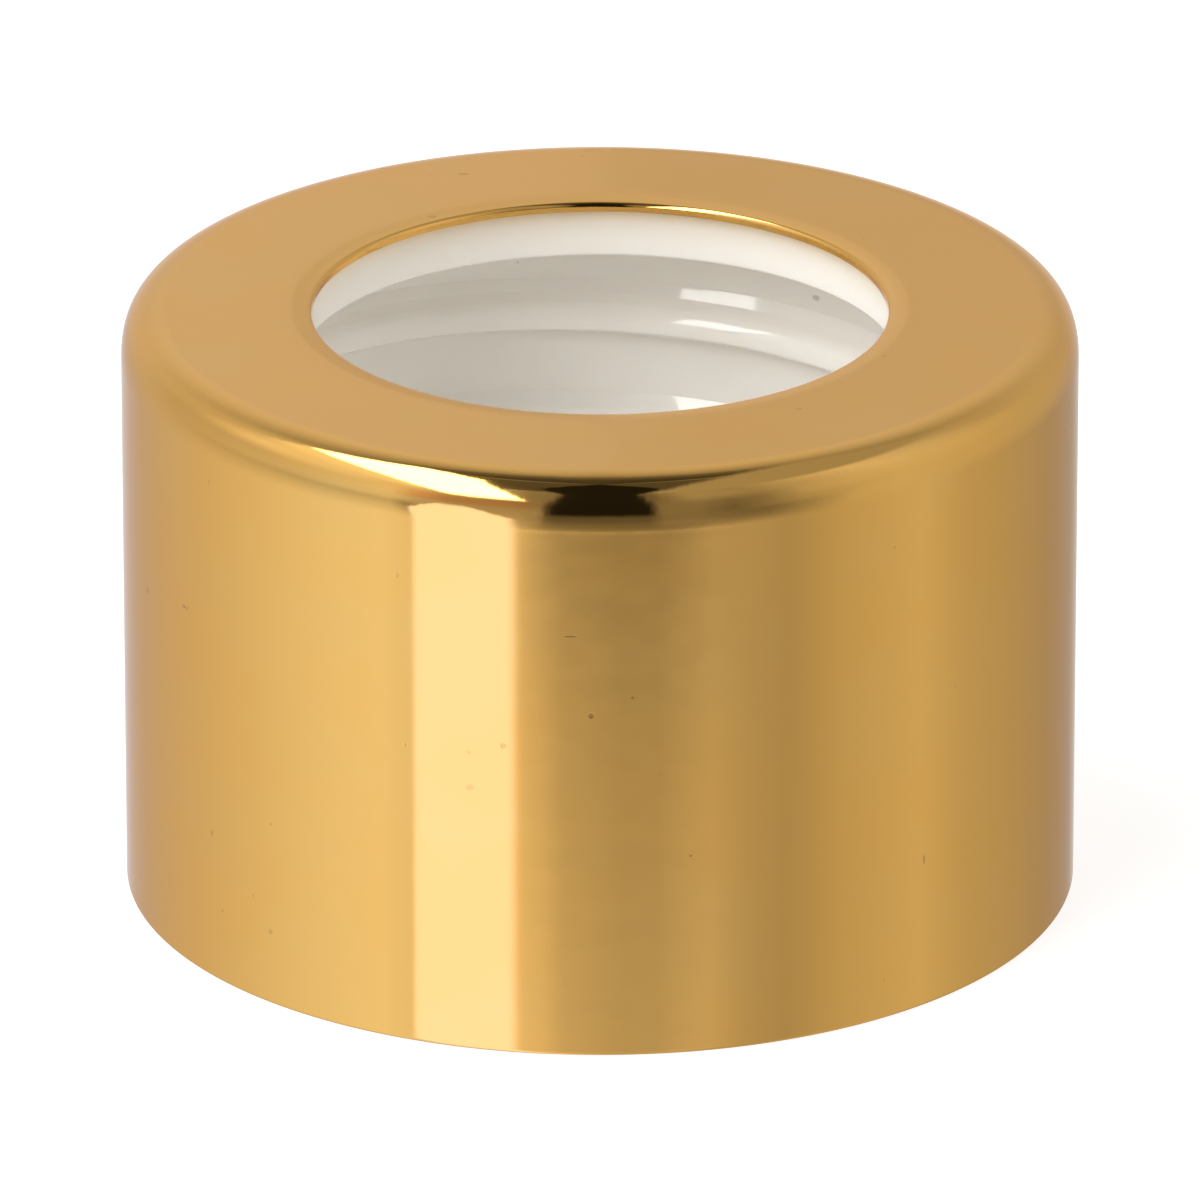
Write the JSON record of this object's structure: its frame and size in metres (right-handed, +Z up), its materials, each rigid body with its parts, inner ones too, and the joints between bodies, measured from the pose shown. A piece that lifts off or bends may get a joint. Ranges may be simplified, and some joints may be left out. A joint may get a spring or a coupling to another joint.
{
  "type": "diffuser bottle screw collar",
  "caption": "Open-topped screw collar for a fragrance bottle neck: polished metal shell over a threaded white liner.",
  "frame": {"origin": "centre of the bottom rim, on the axis", "axes": "+Z up along the collar's axis, out of the open top; +Y is the side where the first full thread turn lies 6.03 mm under the top face"},
  "size_m": [0.033, 0.033, 0.021],
  "materials": {
    "shell": "gold anodised, polished, clear lacquer",
    "liner": "moulded polypropylene, glossy"
  },
  "bodies": {
    "root": {"shell": "shell", "liner": "liner"}
  },
  "joints": []
}
